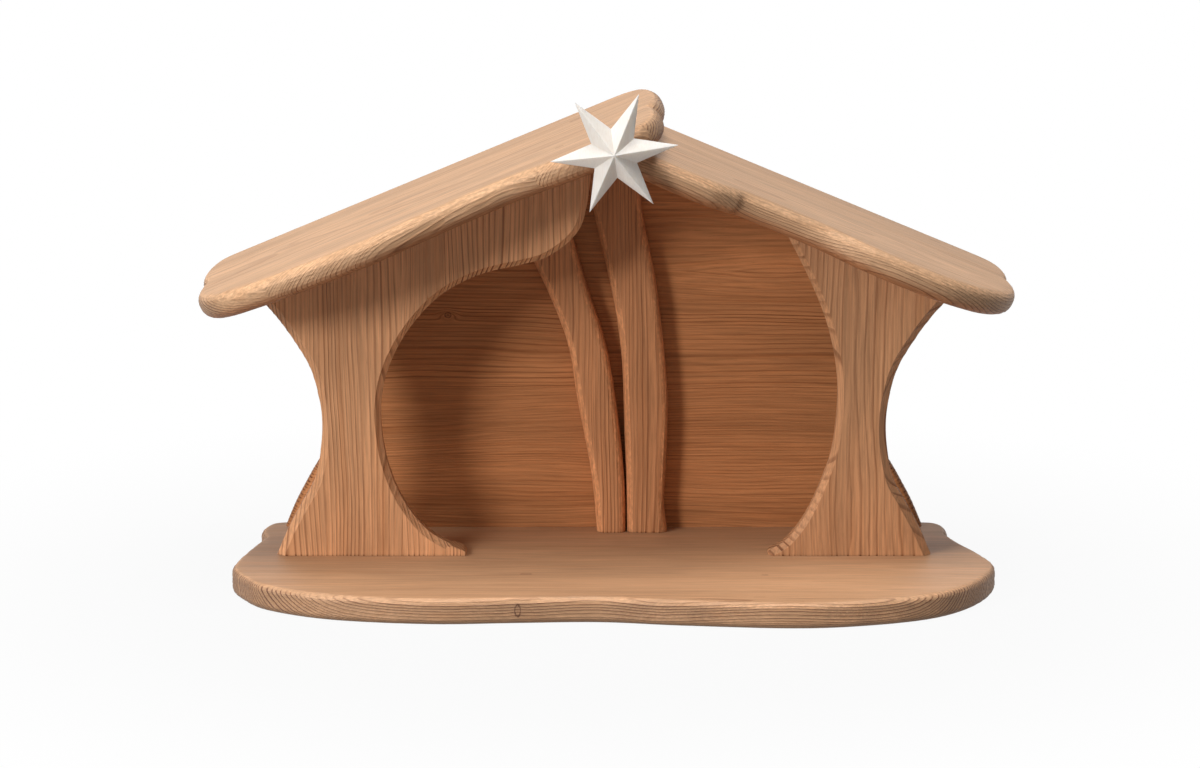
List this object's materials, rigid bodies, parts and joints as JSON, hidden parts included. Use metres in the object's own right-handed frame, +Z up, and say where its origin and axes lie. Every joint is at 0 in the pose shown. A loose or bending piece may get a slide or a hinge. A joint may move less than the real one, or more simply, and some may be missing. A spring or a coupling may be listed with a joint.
{
  "type": "wooden nativity stable",
  "caption": "Small wooden stable for crib figures: shaped base, curved front panels, back wall with leaning posts, lapped pitched roof and a turning star.",
  "frame": {"origin": "on the underside of the base board, in the middle of its depth and straight under the ridge", "axes": "+X to the right seen from the front, +Y to the back wall, +Z up"},
  "size_m": [0.3804, 0.171, 0.2349],
  "materials": {
    "base_wood": "brushed softwood, waxed honey brown",
    "panel_wood": "brushed softwood, upright grain, waxed brown",
    "wall_wood": "brushed softwood, level grain, waxed brown",
    "post_wood": "brushed softwood, upright grain, waxed brown",
    "roof_wood": "brushed softwood, pale honey brown, soft edges",
    "star_wood": "bleached fine-grained wood, matt",
    "pin_steel": "bright steel",
    "screw_brass": "yellow passivated screw",
    "dowel_wood": "plain beech"
  },
  "bodies": {
    "root": {"base_board": "base_wood", "front_left_panel": "panel_wood", "front_right_panel": "panel_wood", "back_wall_left": "wall_wood", "back_wall_right": "wall_wood", "left_post": "post_wood", "right_post": "post_wood", "roof_board_left": "roof_wood", "roof_board_right": "roof_wood", "base_screws": "screw_brass", "post_screws": "screw_brass", "front_roof_dowels": "dowel_wood", "back_roof_dowels": "dowel_wood", "ridge_dowels": "dowel_wood"},
    "pin": {"star_pin": "pin_steel"},
    "star": {"star": "star_wood"}
  },
  "joints": [
    {"name": "star_pull", "type": "slide", "parent": "root", "child": "pin", "axis": [0, -1, 0], "range_m": [0, 0.017]},
    {"name": "star_turn", "type": "hinge", "parent": "pin", "child": "star", "pos_m": [0.0045, -0.0461, 0.20861], "axis": [0, -1, 0], "continuous": true}
  ]
}
